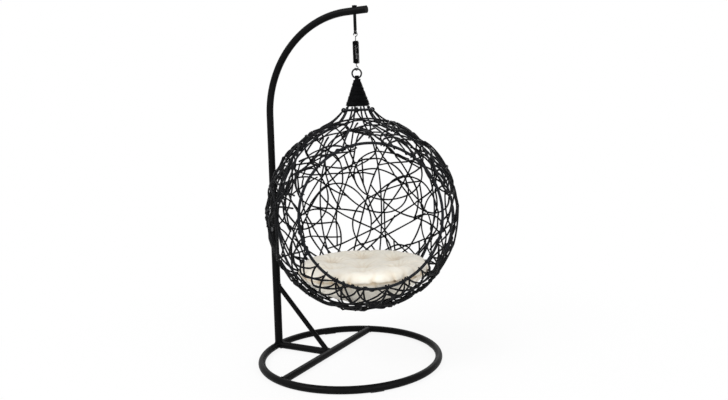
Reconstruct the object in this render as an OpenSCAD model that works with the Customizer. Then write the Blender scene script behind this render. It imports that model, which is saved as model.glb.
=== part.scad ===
// Hanging ball basket for a cat: a black tube stand with a curved arm, a spring
// hanger, a woven ball with a round mouth, and a tufted cushion. Millimetres.
// +Z is up, +X runs from the post towards the arm's tip, and the floor is z = 0.

/* [Stand] */
// Radius of the base ring, to the middle of its tube
ring_r = 186; // [150:1:240]
// Outside diameter of the tube of the base ring, cross bar and spine
base_tube_d = 14.5; // [12:0.5:20]
// Wall of the base tubes
base_wall = 1.2; // [0.8:0.1:2]
// Distance of the cross bar from the ring's middle, towards the post
cross_bar_back = 50.5; // [30:0.5:80]
// Outside diameter of the lower post
post_d = 17.5; // [15:0.5:22]
// Wall of the lower post
post_wall = 0.9; // [0.8:0.1:1.5]
// Height of the lower post's top edge
post_top = 300; // [240:5:360]
// Outside diameter of the diagonal brace
brace_d = 10.5; // [8:0.5:14]
// Wall of the brace
brace_wall = 1; // [0.8:0.1:1.5]
// Height at which the brace meets the post
brace_top = 147; // [110:1:190]
// Distance of the brace's foot behind the middle of the cross bar
brace_foot_back = 5; // [0:0.5:10]
// Gap at a coped and welded joint
weld_gap = 0.05; // [0.02:0.01:0.2]

/* [Arm] */
// Sliding gap between the arm and the inside of the lower post
arm_fit = 0.15; // [0.05:0.05:0.4]
// Wall of the arm tube
arm_wall = 1.2; // [0.8:0.1:2]
// Length of arm inside the lower post
arm_insert = 60; // [40:5:100]
// Radius of the arm's bend, to the middle of its tube
bend_r = 206; // [170:1:240]
// Room between the ball and the post
post_room = 16; // [14:0.5:50]
// Length of arm past the hanger
tip_past = 26; // [15:1:50]

/* [Small fittings] */
// Height of a floor pad's sides
pad_h = 1.3; // [1.2:0.1:6]
// Thickness of a floor pad under the base ring
pad_t = 0.6; // [0.5:0.1:4]
// Width of a floor pad
pad_w = 5; // [4:0.5:12]
// Length of a floor pad along the ring, in degrees
pad_angle = 8; // [4:1:15]
// Thickness of the arm plug's head
plug_head = 2; // [1:0.5:5]
// Length of the arm plug's stem
plug_stem = 14; // [8:1:25]
// Diameter of the bolt that locks the arm in the post
lock_bolt_d = 5; // [4:0.5:6]
// Diameter of the lock bolt's head
lock_head_d = 10; // [8:0.5:14]
// Width across the flats of the lock nut
lock_nut_w = 8.5; // [7.5:0.5:11]
// Height of the lock bolt's head and of its nut
lock_head_h = 3; // [2:0.5:5]
// Length of thread that stands out of the lock nut
lock_thread_out = 1; // [0.5:0.5:3]
// Depth of the lock bolt below the post's top edge
lock_bolt_drop = 30; // [20:1:40]

/* [Hanger] */
// Diameter of the hanger eye bolt's shank
shank_d = 6.5; // [5:0.5:7]
// Width across the flats of the hanger nut
hanger_nut_w = 10; // [9:0.5:13]
// Height of the hanger nut
hanger_nut_h = 2.8; // [2:0.1:5]
// Depth of the eye's lowest wire below the arm's middle
eye_drop = 47; // [42:1:60]
// Radius of the eye, to the middle of its wire
eye_r = 3.6; // [3.5:0.1:5]
// Diameter of the eye's wire
eye_wire = 3; // [2.6:0.1:3.2]
// Radius of a spring hook's loop, to the middle of its wire
hook_r = 4.2; // [4.1:0.1:5]
// Diameter of the hook wire
hook_wire = 2; // [1.6:0.1:2.2]
// Part of a full turn that a hook's loop makes, in degrees
hook_sweep_angle = 290; // [270:1:300]
// Turn of the lower hook away from a square crossing with its ring, in degrees
hook_skew_angle = 36; // [0:1:45]
// Gap between hanging pieces that touch
hang_gap = 0.3; // [0.2:0.05:0.5]
// Length of the upper hook's stem
upper_stem = 11.2; // [8:0.1:16]
// Length of the lower hook's stem
lower_stem = 7.2; // [6:0.1:12]
// Diameter of the ball head on a spring hook
hook_ball_d = 5.6; // [5:0.1:5.8]

/* [Spring] */
// Outside diameter of the spring
spring_d = 13.5; // [13.2:0.1:16]
// Diameter of the spring wire
spring_wire = 2.1; // [1.6:0.1:2.2]
// Number of curls in the spring
spring_curls = 17; // [10:1:24]
// Rise of one curl at rest
spring_pitch = 2.6; // [2.55:0.05:3.6]
// Height of a spring cup's lip from the middle of the hook's ball
cup_lip = 4.6; // [4:0.1:6]
// Thickness of a spring cup under the hook's ball
cup_floor = 0.5; // [0.4:0.1:1]
// Widening of a spring cup's throat, on each side
cup_flare = 2.2; // [1.8:0.1:2.4]

/* [Ring and cone] */
// Radius of the hanging ring, to the middle of its wire
link_r = 9.6; // [8.5:0.1:12]
// Diameter of the hanging ring's wire
link_wire = 3.4; // [2.4:0.1:3.8]
// Height of the wound cone
cone_h = 56; // [45:1:70]
// Outside radius of the cone at its top
cone_top_r = 7.4; // [6.5:0.1:9]
// Outside radius of the cone at its foot
cone_foot_r = 26; // [20:0.5:28]
// Diameter of the strand wound on the cone
wind_strand = 2.6; // [2:0.1:2.6]
// Loops in the winding
wind_loops = 18; // [10:1:18]

/* [Basket] */
// Outside diameter of the woven ball
ball_d = 400; // [360:5:460]
// Room between the floor and the ball
floor_room = 112; // [80:1:160]
// Height of the ball's top below the neck hoop
neck_drop = 14; // [10:1:30]
// Radius of the neck hoop, to the middle of its wire
neck_r = 30; // [27:0.5:34]
// Diameter of the neck hoop's wire
neck_wire = 3.8; // [2.5:0.1:4.5]
// Height of the neck hoop below the cone's foot
neck_hoop_drop = 8; // [7:0.5:12]
// Diameter of the frame ribs
rib_d = 3.6; // [3:0.1:4.5]
// Number of frame ribs
rib_count = 8; // [6:1:10]
// Lean of a rib from upright at the neck hoop, in degrees
rib_lean_angle = 22; // [15:1:28]
// Radius of the hoop that gathers the ribs at the bottom
foot_hoop_r = 34; // [25:1:50]
// Diameter of the woven strand
strand = 3; // [2.4:0.1:3.4]
// Gap between one layer of weave and the next
layer_gap = 0.4; // [0.3:0.05:0.6]
// Points over the ball that carry a loop of weave where there is room
loop_points = 56; // [40:1:60]
// Turn of the first loop of weave, in degrees
first_turn_angle = 190; // [0:5:355]
// Largest loop of weave, as an angle from the ball's middle
loop_most_angle = 23; // [18:0.5:26]
// Smallest loop of weave, as an angle from the ball's middle
loop_least_angle = 7; // [5:0.5:10]

/* [Mouth] */
// Diameter of the mouth hoop's rod
mouth_rod = 5.5; // [4:0.1:7]
// Half angle of the mouth, seen from the ball's middle
mouth_half_angle = 45; // [40:0.5:54]
// Direction in which the mouth faces, round from +X
mouth_turn_angle = -53; // [-75:1:-30]
// Lift of the mouth's direction above level
mouth_lift_angle = 5; // [0:1:12]

/* [Cushion] */
// Height of the cushion's seam above the foot hoop, as a share of the ball
seam_share = 0.155; // [0.13:0.005:0.17]
// Height of the stuffed rim above the seam
crown_h = 34; // [20:1:40]
// Depth of the hollow in the middle, below the rim
dish_depth = 18; // [0:1:26]
// Depth of the sewn tufts
tuft_depth = 10; // [0:0.5:14]
// Distance of the outer tufts from the middle
tuft_ring_r = 78; // [60:1:95]
// Number of outer tufts
tuft_count = 6; // [4:1:8]
// Depth of the puckers drawn into the side
pucker = 4; // [0:0.5:7]
// Gap between the cushion and the frame that it lies on
cushion_gap = 0.5; // [0.3:0.1:1]

/* [Hidden] */
$fn = 64;

// How far a cut runs past a face, and a hook's bead as a share of its wire
cut = 1;
hook_bead = 1.25;

black = [0.04, 0.04, 0.045];
zinc = [0.66, 0.67, 0.68];
cream = [0.93, 0.89, 0.79];
rubber_grey = [0.1, 0.1, 0.1];

// Places in the stand. The ring's middle is set back, so that the whole object is
// centred on the origin.
reach = ball_d / 2 + post_room + post_d / 2;
ring_x = ring_r + post_d / 4 - (reach + ball_d / 2) / 2;
post_x = ring_x - ring_r;
hang_x = post_x + reach;
cross_x = ring_x - cross_bar_back;
tube_z = pad_t + base_tube_d / 2;
arm_d = post_d - 2 * post_wall - 2 * arm_fit;
tip_x = hang_x + tip_past;
lock_z = post_top - lock_bolt_drop;

// Heights from the floor up: ball, neck, cone, ring, hooks and spring, eye and arm
ball_z = floor_room + ball_d / 2;
neck_z = ball_z + ball_d / 2 + neck_drop;
cone_foot = neck_z + neck_hoop_drop;
cone_top = cone_foot + cone_h;
link_z = cone_top + link_r + link_wire / 2;
lower_hook_z = link_z + link_r - link_wire / 2 - hang_gap - hook_wire / 2 + hook_r;
lower_ball_z = lower_hook_z + hook_r + lower_stem + hook_ball_d / 2;
ball_seat_r = hook_ball_d / 2 + hang_gap;
spring_len = spring_curls * spring_pitch;
spring_coil_r = (spring_d - spring_wire) / 2;
spring_foot = lower_ball_z - cup_lip;
spring_top = spring_foot + spring_len + spring_wire;
upper_ball_z = spring_top - cup_lip;
upper_hook_z = upper_ball_z + hook_ball_d / 2 + upper_stem + hook_r;
eye_z = upper_hook_z + hook_r - hook_wire / 2 - hang_gap - eye_wire / 2;
arm_top = eye_z + eye_drop;
bend_z = arm_top - bend_r;

// Layers of the ball, from the outside in
function layer_r(k) = ball_d / 2 - strand / 2 - (2 - k) * (strand + layer_gap);
rib_sphere = layer_r(0) - strand / 2 - layer_gap - rib_d / 2;
mouth_sphere = rib_sphere + rib_d / 2 + layer_gap + mouth_rod / 2;
foot_sphere = rib_sphere - rib_d / 2 - layer_gap - rib_d / 2;
foot_hoop_z = ball_z - sqrt(pow(foot_sphere, 2) - pow(foot_hoop_r, 2));

// The rib's bend under the neck: an arc that leaves the neck at rib_lean_angle and runs
// on into the rib's sphere without a kink. Points are [out from the axis, up from
// the ball's middle].
neck_point = [neck_r - neck_wire / 2 - layer_gap - rib_d / 2 / cos(rib_lean_angle), neck_z - ball_z];
bend_way = [cos(rib_lean_angle), sin(rib_lean_angle)];
rib_bend_r = (neck_point * neck_point - pow(rib_sphere, 2)) / 2 / (rib_sphere - neck_point * bend_way);
bend_mid = neck_point + rib_bend_r * bend_way;
bend_far = norm(bend_mid);
bend_polar = atan2(bend_mid[0], bend_mid[1]);
stub_angle = rib_lean_angle - asin(sin(rib_lean_angle) - neck_hoop_drop / rib_bend_r);
foot_polar = 180 - asin(foot_hoop_r / foot_sphere);

// Unit vector at a polar angle from the top and a turn from +X
function way(polar, turn) = [sin(polar) * cos(turn), sin(polar) * sin(turn), cos(polar)];
function between(a, b) = acos(max(-1, min(1, a * b)));
mouth_way = way(90 - mouth_lift_angle, mouth_turn_angle);

// Loops of weave: points spread evenly over the ball, dealt in turn to three layers,
// but those round the bottom all lie on the ribs. A loop stays clear of its own layer's
// other loops, the mouth hoop and the ribs' bend.
bottom_angle = 155;
golden_turn = 180 * (3 - sqrt(5));
point_way = [
    for (i = [0:loop_points - 1])
        way(acos(1 - (2 * i + 1) / loop_points), first_turn_angle + i * golden_turn)
];
function layer_of(i) = acos(point_way[i][2]) > bottom_angle ? 0 : i % 3;
mouth_keep = mouth_half_angle + asin((mouth_rod / 2 + strand / 2 + layer_gap) / mouth_sphere);
function neck_keep(k) =
    let (d = layer_r(k) - strand / 2 - layer_gap - rib_d / 2)
    bend_polar - acos((pow(bend_far, 2) + d * d - pow(rib_bend_r, 2)) / (2 * bend_far * d));
function own_room(i) = min([
    for (j = [0:loop_points - 1])
        if (j != i && layer_of(j) == layer_of(i)) between(point_way[i], point_way[j])
]) / 2;
function loop_room(i) = min(
    loop_most_angle,
    own_room(i) - asin((strand + layer_gap) / 2 / layer_r(0)),
    between(point_way[i], mouth_way) - mouth_keep,
    acos(point_way[i][2]) - neck_keep(layer_of(i)) - asin(strand / 2 / layer_r(0))
);

// Solids that several pieces share
module bar(d, length) {
    cylinder(d = d, h = length);
}
module pipe(d, wall, length) {
    difference() {
        bar(d, length);
        translate([0, 0, -cut]) bar(d - 2 * wall, length + 2 * cut);
    }
}
module torus(r, d) {
    rotate_extrude() translate([r, 0]) circle(d = d);
}
module ring_tube(d) {
    translate([ring_x, 0, tube_z]) torus(ring_r, d);
}
module cross_rod(d, length) {
    translate([cross_x, length / 2, tube_z]) rotate([90, 0, 0]) bar(d, length);
}
module spine_rod(d) {
    translate([post_x, 0, tube_z]) rotate([0, 90, 0]) bar(d, ring_r - cross_bar_back);
}
module hex_nut(w, h, bore) {
    difference() {
        cylinder(d = w / cos(30), h = h, $fn = 6);
        translate([0, 0, -cut]) bar(bore, h + 2 * cut);
    }
}

// One closed tube along a list of points, with its end faces
function dir(path, i) =
    let (a = path[max(0, i - 1)], b = path[min(len(path) - 1, i + 1)])
    (b - a) / norm(b - a);
function side_way(t) =
    let (s = cross(abs(t[2]) < 0.9 ? [0, 0, 1] : [1, 0, 0], t))
    s / norm(s);
module swept_tube(path, d, sides) {
    n = len(path);
    points = [
        for (i = [0:n - 1])
            let (t = dir(path, i), s = side_way(t), u = cross(t, s))
            for (k = [0:sides - 1])
                path[i] + d / 2 * (cos(360 * k / sides) * s + sin(360 * k / sides) * u)
    ];
    walls = [
        for (i = [0:n - 2])
            for (k = [0:sides - 1])
                let (a = i * sides + k, b = i * sides + (k + 1) % sides)
                for (face = [[a, b + sides, b], [a, a + sides, b + sides]]) face
    ];
    ends = [
        for (k = [1:sides - 2])
            for (face = [[0, k, k + 1], [(n - 1) * sides, (n - 1) * sides + k + 1, (n - 1) * sides + k]])
                face
    ];
    polyhedron(points = points, faces = concat(walls, ends));
}
// A helix with both ends run out straight by one tube diameter
function run_out(path, d) =
    let (n = len(path), a = path[0] - path[1], b = path[n - 1] - path[n - 2])
    concat([path[0] + a / norm(a) * d], path, [path[n - 1] + b / norm(b) * d]);
// Least gap from one turn of a helix to the next
function turn_gap(path, rings, d) = min([
    for (i = [0:len(path) - 1])
        for (j = [i + floor(rings * 0.6):min(len(path) - 1, i + floor(rings * 1.4))])
            norm(path[i] - path[j])
]) - d;

spring_rings = 8;
spring_path = [
    for (i = [0:spring_curls * spring_rings])
        let (a = 360 * i / spring_rings)
        [spring_coil_r * cos(a), spring_coil_r * sin(a),
         spring_foot + spring_wire / 2 + spring_pitch * i / spring_rings]
];
wind_rings = 24;
wind_top = [cone_top_r - wind_strand / 2, cone_top - wind_strand / 2];
wind_low = [cone_foot_r - wind_strand / 2, cone_foot + wind_strand / 2];
wind_path = [
    for (i = [0:wind_loops * wind_rings])
        let (p = wind_top + (wind_low - wind_top) * i / (wind_loops * wind_rings), a = 360 * i / wind_rings)
        [p[0] * cos(a), p[0] * sin(a), p[1]]
];
echo(spring_least_gap = turn_gap(spring_path, spring_rings, spring_wire));
echo(winding_least_gap = turn_gap(wind_path, wind_rings, wind_strand));

// Stand
module base_ring() color(black) difference() {
    ring_tube(base_tube_d);
    ring_tube(base_tube_d - 2 * base_wall);
}
module cross_bar() color(black) difference() {
    cross_rod(base_tube_d, 2 * ring_r);
    cross_rod(base_tube_d - 2 * base_wall, 2 * ring_r + 2 * cut);
    ring_tube(base_tube_d + 2 * weld_gap);
    translate([ring_x, 0, 0]) difference() {
        bar(4 * ring_r, 4 * base_tube_d);
        translate([0, 0, -cut]) bar(2 * ring_r, 4 * base_tube_d + 2 * cut);
    }
}
module spine_bar() color(black) difference() {
    spine_rod(base_tube_d);
    spine_rod(base_tube_d - 2 * base_wall);
    ring_tube(base_tube_d + 2 * weld_gap);
    cross_rod(base_tube_d + 2 * weld_gap, 2 * ring_r);
    translate([post_x, 0, 0]) bar(post_d + 2 * weld_gap, post_top);
}
module lower_post() color(black) difference() {
    translate([post_x, 0, tube_z]) pipe(post_d, post_wall, post_top - tube_z);
    ring_tube(base_tube_d + 2 * weld_gap);
    translate([post_x, post_d, lock_z]) rotate([90, 0, 0]) bar(lock_bolt_d + 2 * arm_fit, 2 * post_d);
}
module brace_rod(d) {
    run = cross_x - brace_foot_back - post_x;
    drop = brace_top - tube_z;
    translate([post_x, 0, brace_top]) rotate([0, 90 + atan2(drop, run), 0]) bar(d, norm([run, drop]));
}
module brace() color(black) difference() {
    brace_rod(brace_d);
    brace_rod(brace_d - 2 * brace_wall);
    translate([post_x, 0, 0]) bar(post_d + 2 * weld_gap, post_top);
    spine_rod(base_tube_d + 2 * weld_gap);
    cross_rod(base_tube_d + 2 * weld_gap, 2 * ring_r);
}
module arm_rod(d, over) {
    translate([post_x, 0, post_top - arm_insert - over]) bar(d, bend_z - post_top + arm_insert + over);
    translate([post_x + bend_r, 0, bend_z]) rotate([90, 0, 0]) rotate([0, 0, 90])
        rotate_extrude(angle = 90) translate([bend_r, 0]) circle(d = d);
    translate([post_x + bend_r, 0, arm_top]) rotate([0, 90, 0]) bar(d, tip_x - post_x - bend_r + over);
}
module arch_arm() color(black) difference() {
    arm_rod(arm_d, 0);
    arm_rod(arm_d - 2 * arm_wall, cut);
    translate([hang_x, 0, arm_top - arm_d]) bar(shank_d + 2 * arm_fit, 2 * arm_d);
    translate([post_x, post_d, lock_z]) rotate([90, 0, 0]) bar(lock_bolt_d + 2 * arm_fit, 2 * post_d);
}
module floor_pads() color(rubber_grey)
    for (a = [45:90:315])
        translate([ring_x, 0, 0]) rotate([0, 0, a - pad_angle / 2]) rotate_extrude(angle = pad_angle)
            difference() {
                translate([ring_r - pad_w / 2, 0]) square([pad_w, pad_h]);
                translate([ring_r, tube_z]) circle(d = base_tube_d + 2 * weld_gap);
            }
module arm_plug() color(black) translate([tip_x, 0, arm_top]) rotate([0, 90, 0]) {
    translate([0, 0, weld_gap]) bar(arm_d, plug_head);
    translate([0, 0, -plug_stem]) bar(arm_d - 2 * arm_wall - 2 * arm_fit, plug_stem + weld_gap);
}
module lock_bolt() color(zinc) translate([post_x, 0, lock_z]) rotate([90, 0, 0]) {
    translate([0, 0, post_d / 2]) bar(lock_head_d, lock_head_h);
    translate([0, 0, -post_d / 2 - lock_head_h - lock_thread_out])
        bar(lock_bolt_d, post_d + lock_head_h + lock_thread_out);
}
module lock_nut() color(zinc) translate([post_x, post_d / 2, lock_z]) rotate([-90, 0, 0])
    hex_nut(lock_nut_w, lock_head_h, lock_bolt_d + 2 * weld_gap);

// Hanger
module hanger_eye_bolt() color(black) {
    shank_foot = eye_z + 2 * eye_r;
    translate([hang_x, 0, eye_z + eye_r]) rotate([0, 90, 0]) torus(eye_r, eye_wire);
    translate([hang_x, 0, shank_foot]) bar(shank_d, arm_top + arm_d / 2 + hanger_nut_h - shank_foot);
}
module hanger_nut() color(black) translate([hang_x, 0, arm_top + arm_d / 2 + weld_gap])
    hex_nut(hanger_nut_w, hanger_nut_h, shank_d + 2 * weld_gap);
// A hook: an open loop, a bead at its bend, a stem and a ball head
module hook_head(loop_z, head_z, turn) {
    flip = loop_z > head_z ? 0 : 180;
    translate([hang_x, 0, loop_z]) rotate([0, 0, turn]) rotate([flip, 0, 0]) {
        rotate([90, 0, 0]) rotate([0, 0, -90]) rotate_extrude(angle = hook_sweep_angle)
            translate([hook_r, 0]) circle(d = hook_wire);
        translate([0, 0, -hook_r]) sphere(d = hook_bead * hook_wire);
        translate([0, 0, -abs(loop_z - head_z)]) bar(hook_wire, abs(loop_z - head_z) - hook_r);
        translate([0, 0, -abs(loop_z - head_z)]) sphere(d = hook_ball_d);
    }
}
module spring_cup(head_z, up) {
    cup_r = spring_coil_r * cos(180 / spring_rings) - spring_wire / 2 - hang_gap;
    translate([hang_x, 0, head_z]) rotate([up > 0 ? 0 : 180, 0, 0]) difference() {
        translate([0, 0, -ball_seat_r - cup_floor]) bar(2 * cup_r, ball_seat_r + cup_floor + cup_lip);
        sphere(r = ball_seat_r);
        cylinder(r1 = hook_wire / 2, r2 = hook_wire / 2 + cup_flare, h = cup_lip + weld_gap);
    }
}
module upper_hook() color(zinc) hook_head(upper_hook_z, upper_ball_z, 0);
module upper_spring_cup() color(black) spring_cup(upper_ball_z, 1);
module spring() color(black) translate([hang_x, 0, 0])
    swept_tube(run_out(spring_path, spring_wire), spring_wire, 6);
module lower_spring_cup() color(black) spring_cup(lower_ball_z, -1);
module lower_hook() color(zinc) hook_head(lower_hook_z, lower_ball_z, mouth_turn_angle + hook_skew_angle);

// Ring and cone
module link_ring(d) {
    translate([hang_x, 0, link_z]) rotate([0, 0, mouth_turn_angle]) rotate([0, 90, 0]) torus(link_r, d);
}
module hanging_ring() color(zinc) link_ring(link_wire);
module cone_core() color(black) difference() {
    inset = wind_strand + layer_gap;
    translate([hang_x, 0, cone_foot]) union() {
        cylinder(r1 = cone_foot_r - inset, r2 = cone_top_r - inset, h = cone_h);
        translate([0, 0, cone_h]) bar(2 * (cone_top_r - inset), 2 * link_wire);
    }
    link_ring(link_wire + 2 * layer_gap);
}
module cone_winding() color(black) translate([hang_x, 0, 0])
    swept_tube(run_out(wind_path, wind_strand), wind_strand, 6);
module neck_hoop() color(black) translate([hang_x, 0, neck_z]) torus(neck_r, neck_wire);

// Ball. Each is drawn about the ball's middle.
module at_ball() {
    translate([hang_x, 0, ball_z]) children();
}
// An arc of rod from one polar angle to another, in the plane of its turn
module rib_arc(from, to) {
    rotate([90, 0, 0]) rotate([0, 0, 90 - to]) rotate_extrude(angle = to - from)
        translate([rib_sphere, 0]) circle(d = rib_d);
}
// Polar angles at which a rib goes under the mouth hoop, or none
function mouth_cut(turn) =
    let (
        a = mouth_way * way(90, turn),
        b = mouth_way * way(0, 0),
        size = norm([a, b]),
        reaches = size > cos(mouth_half_angle)
    )
    reaches ? [for (s = [-1, 1]) atan2(a, b) + s * acos(cos(mouth_half_angle) / size)] : [];
module neck_rib(turn) {
    rotate([0, 0, turn]) translate([bend_mid[0], 0, bend_mid[1]]) rotate([90, 0, 0])
        rotate([0, 0, 180 + rib_lean_angle - stub_angle])
            rotate_extrude(angle = 90 - rib_lean_angle - bend_polar + stub_angle)
                translate([rib_bend_r, 0]) circle(d = rib_d);
}
module frame_rib(turn) {
    cut = mouth_cut(turn);
    from = bend_polar + asin(weld_gap / rib_sphere);
    rotate([0, 0, turn])
        if (len(cut) == 2 && cut[0] > bend_polar) {
            rib_arc(from, cut[0]);
            rib_arc(cut[1], foot_polar);
        } else {
            rib_arc(from, foot_polar);
        }
}
function rib_turn(k) = mouth_turn_angle + 360 * (k + 0.5) / rib_count;
// Their tops are cut off level under the wound cone
module neck_ribs() color(black) at_ball() difference() {
    for (k = [0:rib_count - 1]) neck_rib(rib_turn(k));
    translate([0, 0, cone_foot - ball_z - layer_gap]) bar(4 * neck_r, neck_hoop_drop);
}
module frame_ribs() color(black) at_ball() for (k = [0:rib_count - 1]) frame_rib(rib_turn(k));
module foot_hoop() color(black) translate([hang_x, 0, foot_hoop_z]) torus(foot_hoop_r, rib_d);
module mouth_hoop() color(black) at_ball() rotate([0, 0, mouth_turn_angle])
    rotate([0, 90 - mouth_lift_angle, 0]) translate([0, 0, mouth_sphere * cos(mouth_half_angle)])
        torus(mouth_sphere * sin(mouth_half_angle), mouth_rod);
module weave(k) color(black) at_ball()
    for (i = [0:loop_points - 1]) {
        room = loop_room(i);
        turn = atan2(point_way[i][1], point_way[i][0]);
        if (layer_of(i) == k && room > loop_least_angle)
            rotate([0, acos(point_way[i][2]), turn]) translate([0, 0, layer_r(k) * cos(room)])
                torus(layer_r(k) * sin(room), strand);
    }
module weave_inner() weave(0);
module weave_middle() weave(1);
module weave_outer() weave(2);

// Cushion: a stuffed rim round a hollow, an underside that follows the ball, tufts and puckers
cushion_sphere = rib_sphere - rib_d / 2 - cushion_gap;
cushion_floor = foot_hoop_z + rib_d / 2 + cushion_gap;
seam_z = foot_hoop_z + seam_share * ball_d;
cushion_r = sqrt(pow(cushion_sphere, 2) - pow(ball_z - seam_z, 2));
cushion_sides = 48;
cushion_rings = 9;
function tuft_dip(p) =
    let (spread = tuft_ring_r / 3)
    tuft_depth * (exp(-pow(norm(p) / spread, 2)) + max([
        for (k = [0:tuft_count - 1])
            let (a = 360 * k / tuft_count)
            exp(-pow(norm(p - tuft_ring_r * [cos(a), sin(a)]) / spread, 2))
    ]));
function edge_r(a) = cushion_r - pucker * (1 + cos(2 * tuft_count * a)) / 2;
function top_point(s, a) =
    let (r = edge_r(a) * s, p = r * [cos(a), sin(a)])
    [p[0], p[1], seam_z + crown_h * pow(1 - pow(s, 6), 0.5)
        - dish_depth * pow(1 - s * s, 1.5) - tuft_dip(p) * (1 - pow(s, 4))];
function low_point(s, a) =
    let (
        r = edge_r(a) * s,
        bowl = ball_z - sqrt(pow(cushion_sphere, 2) - r * r),
        side = seam_z - (seam_z - cushion_floor) * pow(1 - pow(s, 6), 0.5)
    )
    [r * cos(a), r * sin(a), max(cushion_floor, bowl + (seam_z - bowl) * pow(s, 12), side)];
// Index of a point of the underside, whose last ring is the seam that the top shares
function at_low(i, k) =
    (i == cushion_rings - 1 ? i : cushion_rings + i) * cushion_sides + k % cushion_sides;
module cushion() color(cream) translate([hang_x, 0, 0]) {
    n = cushion_sides;
    angles = [for (k = [0:n - 1]) 360 * k / n];
    steps = [for (i = [1:cushion_rings]) pow(i / cushion_rings, 0.7)];
    top = [for (i = [0:cushion_rings - 1]) for (a = angles) top_point(steps[i], a)];
    low = [for (i = [0:cushion_rings - 2]) for (a = angles) low_point(steps[i], a)];
    points = concat(top, low, [top_point(0, 0), low_point(0, 0)]);
    tip = len(points) - 2;
    faces = concat(
        [for (k = [0:n - 1]) [tip, (k + 1) % n, k]],
        [for (k = [0:n - 1]) [tip + 1, at_low(0, k), at_low(0, k + 1)]],
        [for (i = [0:cushion_rings - 2]) for (k = [0:n - 1])
            for (face = [[i * n + k, i * n + (k + 1) % n, (i + 1) * n + k],
                         [i * n + (k + 1) % n, (i + 1) * n + (k + 1) % n, (i + 1) * n + k]]) face],
        [for (i = [0:cushion_rings - 2]) for (k = [0:n - 1])
            for (face = [[at_low(i, k), at_low(i + 1, k), at_low(i, k + 1)],
                         [at_low(i, k + 1), at_low(i + 1, k), at_low(i + 1, k + 1)]]) face]
    );
    polyhedron(points = points, faces = faces);
}

base_ring();
cross_bar();
spine_bar();
lower_post();
brace();
arch_arm();
floor_pads();
arm_plug();
lock_bolt();
lock_nut();
hanger_eye_bolt();
hanger_nut();
upper_hook();
upper_spring_cup();
spring();
lower_spring_cup();
lower_hook();
hanging_ring();
cone_core();
cone_winding();
neck_hoop();
neck_ribs();
frame_ribs();
foot_hoop();
mouth_hoop();
weave_inner();
weave_middle();
weave_outer();
cushion();
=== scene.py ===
"""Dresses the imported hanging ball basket: camera, light, materials, woven strands, spring and cushion."""
import math

import bpy
import numpy as np
from mathutils import Matrix, Vector, kdtree, noise


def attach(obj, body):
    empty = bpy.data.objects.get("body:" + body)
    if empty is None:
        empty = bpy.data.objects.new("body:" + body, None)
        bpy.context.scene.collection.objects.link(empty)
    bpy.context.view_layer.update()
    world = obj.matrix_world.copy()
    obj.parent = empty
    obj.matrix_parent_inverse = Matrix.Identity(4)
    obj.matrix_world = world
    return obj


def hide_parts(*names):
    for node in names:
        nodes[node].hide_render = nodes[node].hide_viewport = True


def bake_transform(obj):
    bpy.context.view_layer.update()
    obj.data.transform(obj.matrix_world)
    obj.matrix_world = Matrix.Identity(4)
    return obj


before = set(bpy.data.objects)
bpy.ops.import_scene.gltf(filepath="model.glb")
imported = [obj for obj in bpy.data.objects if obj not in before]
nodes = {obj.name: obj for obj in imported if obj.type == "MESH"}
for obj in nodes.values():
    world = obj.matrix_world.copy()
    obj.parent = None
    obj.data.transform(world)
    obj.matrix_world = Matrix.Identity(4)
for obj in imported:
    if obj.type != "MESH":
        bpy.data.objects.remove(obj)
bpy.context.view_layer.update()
scene = bpy.context.scene
scene.view_settings.view_transform = "Standard"

# Places shared with the part's source, in metres
HANG = Vector((0.01675, 0.0, 0.0))
BALL = Vector((0.01675, 0.0, 0.312))
POST = Vector((-0.208, 0.0, 0.0))
RING = Vector((-0.022, 0.0, 0.00785))
MOUTH_HALF = math.radians(45.0)
MOUTH_TURN = math.radians(-53.0)
MOUTH_LIFT = math.radians(5.0)
MOUTH_WAY = Vector((
    math.cos(MOUTH_LIFT) * math.cos(MOUTH_TURN),
    math.cos(MOUTH_LIFT) * math.sin(MOUTH_TURN),
    math.sin(MOUTH_LIFT),
))


# Camera at the photograph's viewing angle, for a picture of 728 by 400
def add_camera():
    turn, pitch, roll = math.radians(118.6426), math.radians(1.885), math.radians(-2.001)
    wide, tall, focal, middle_row = 728.0, 400.0, 659.7627, 150.0
    forward = Vector((math.cos(turn) * math.cos(pitch), math.sin(turn) * math.cos(pitch), -math.sin(pitch)))
    right = Vector((math.sin(turn), -math.cos(turn), 0.0))
    down = forward.cross(right)
    side = right * math.cos(roll) - down * math.sin(roll)
    fall = right * math.sin(roll) + down * math.cos(roll)
    turned = Matrix((side, -fall, -forward)).transposed().to_4x4()
    data = bpy.data.cameras.new("camera")
    data.sensor_fit = "HORIZONTAL"
    data.sensor_width = 36.0
    data.lens = data.sensor_width * focal / wide
    data.shift_y = (middle_row - tall / 2.0) / wide
    data.clip_start = 0.01
    data.clip_end = 50.0
    camera = bpy.data.objects.new("camera", data)
    camera.matrix_world = Matrix.Translation((0.6795224, -1.1937158, 0.4878137)) @ turned
    scene.collection.objects.link(camera)
    scene.camera = camera


# Pale floor, pale surroundings and soft lamps
def seen_directly(tree):
    """1 for rays from the camera and for those by way of gloss or glass, 0 for all others."""
    path = tree.nodes.new("ShaderNodeLightPath")
    glossy = tree.nodes.new("ShaderNodeMath")
    glossy.operation = "MAXIMUM"
    clear = tree.nodes.new("ShaderNodeMath")
    clear.operation = "MAXIMUM"
    tree.links.new(path.outputs["Is Camera Ray"], glossy.inputs[0])
    tree.links.new(path.outputs["Is Glossy Ray"], glossy.inputs[1])
    tree.links.new(glossy.outputs[0], clear.inputs[0])
    tree.links.new(path.outputs["Is Transmission Ray"], clear.inputs[1])
    return clear.outputs[0]


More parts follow.
